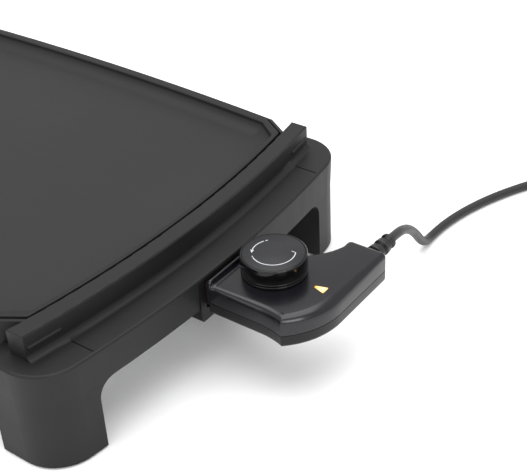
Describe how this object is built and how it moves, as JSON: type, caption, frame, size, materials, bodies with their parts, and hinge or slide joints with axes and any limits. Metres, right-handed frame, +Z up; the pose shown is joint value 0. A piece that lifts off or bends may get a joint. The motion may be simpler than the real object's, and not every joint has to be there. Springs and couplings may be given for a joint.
{
  "type": "electric griddle",
  "caption": "Electric griddle with a dished non-stick plate on a moulded base with legs, a pull-off thermostat controller with a knob and lead, and a drip tray.",
  "frame": {"origin": "on the worktop, at the middle of the griddle with its controller plugged in", "axes": "+X towards the controller end, +Y across the griddle towards the side the lead leaves, +Z up"},
  "size_m": [0.7967, 0.4889, 0.0887],
  "materials": {
    "nonstick_plate": "cast, with a matte dark non-stick coating",
    "element_steel": "dull sheath",
    "nickel_pins": "nickel plated",
    "ceramic": "off-white ceramic",
    "bare_aluminium": "mill finish",
    "socket_plastic": "black phenolic",
    "housing_plastic": "fine spark-eroded texture",
    "rail_plastic": "fine spark-eroded texture",
    "screw_steel": "zinc plated",
    "foot_rubber": "matte",
    "runner_steel": "galvanised",
    "tray_paint": "satin black",
    "controller_gloss": "high gloss",
    "controller_lower": "satin",
    "nose_plastic": "moulded phenolic",
    "contact_brass": "plated",
    "probe_steel": "stainless",
    "amber_lens": "frosted amber",
    "lamp_glass": "neon lamp",
    "knob_gloss": "high gloss",
    "knob_satin": "satin with pale printed marks",
    "relief_rubber": "moulded",
    "cord_sheath": "satin sheath",
    "tie_plastic": "soft strap",
    "plug_rubber": "moulded"
  },
  "bodies": {
    "griddle": {"griddle_plate": "nonstick_plate", "plate_rim": "nonstick_plate", "heating_element": "element_steel", "terminal_pins": "nickel_pins", "terminal_insulators": "ceramic", "probe_sleeve": "bare_aluminium", "socket_guard": "socket_plastic", "end_housing_right": "housing_plastic", "end_housing_left": "housing_plastic", "side_rail_back": "rail_plastic", "side_rail_front": "rail_plastic", "heat_shield": "bare_aluminium", "plate_spacers": "ceramic", "plate_screws": "screw_steel", "rail_screws": "screw_steel", "rubber_feet": "foot_rubber", "tray_runners": "runner_steel"},
    "tray": {"drip_tray": "tray_paint"},
    "controller": {"controller_upper_case": "controller_gloss", "controller_lower_case": "controller_lower", "controller_nose": "nose_plastic", "contact_receptacles": "contact_brass", "sensing_probe": "probe_steel", "case_screws": "screw_steel", "spindle_bush": "contact_brass", "thermostat_frame": "runner_steel", "contact_blade": "contact_brass", "fixed_contact": "contact_brass", "indicator_lens": "amber_lens", "indicator_lamp": "lamp_glass", "terminal_block": "nose_plastic", "strain_relief": "relief_rubber", "power_cord": "cord_sheath", "power_cord_tail": "cord_sheath", "cord_coil": "cord_sheath", "cord_tie": "tie_plastic", "plug_body": "plug_rubber", "plug_blades": "contact_brass"},
    "knob": {"thermostat_knob": "knob_gloss", "knob_disc": "knob_satin", "knob_spindle": "runner_steel", "spindle_clip": "runner_steel"}
  },
  "joints": [
    {"name": "controller_pull", "type": "slide", "parent": "griddle", "child": "controller", "axis": [1, 0, 0], "range_m": [0, 0.125]},
    {"name": "knob_turn", "type": "hinge", "parent": "controller", "child": "knob", "pos_m": [0.28545, 0.0083, 0.07], "axis": [0, 0, 1], "range_deg": [-270, 0]},
    {"name": "tray_slide", "type": "slide", "parent": "griddle", "child": "tray", "axis": [-1, 0, 0], "range_m": [0, 0.14]}
  ]
}
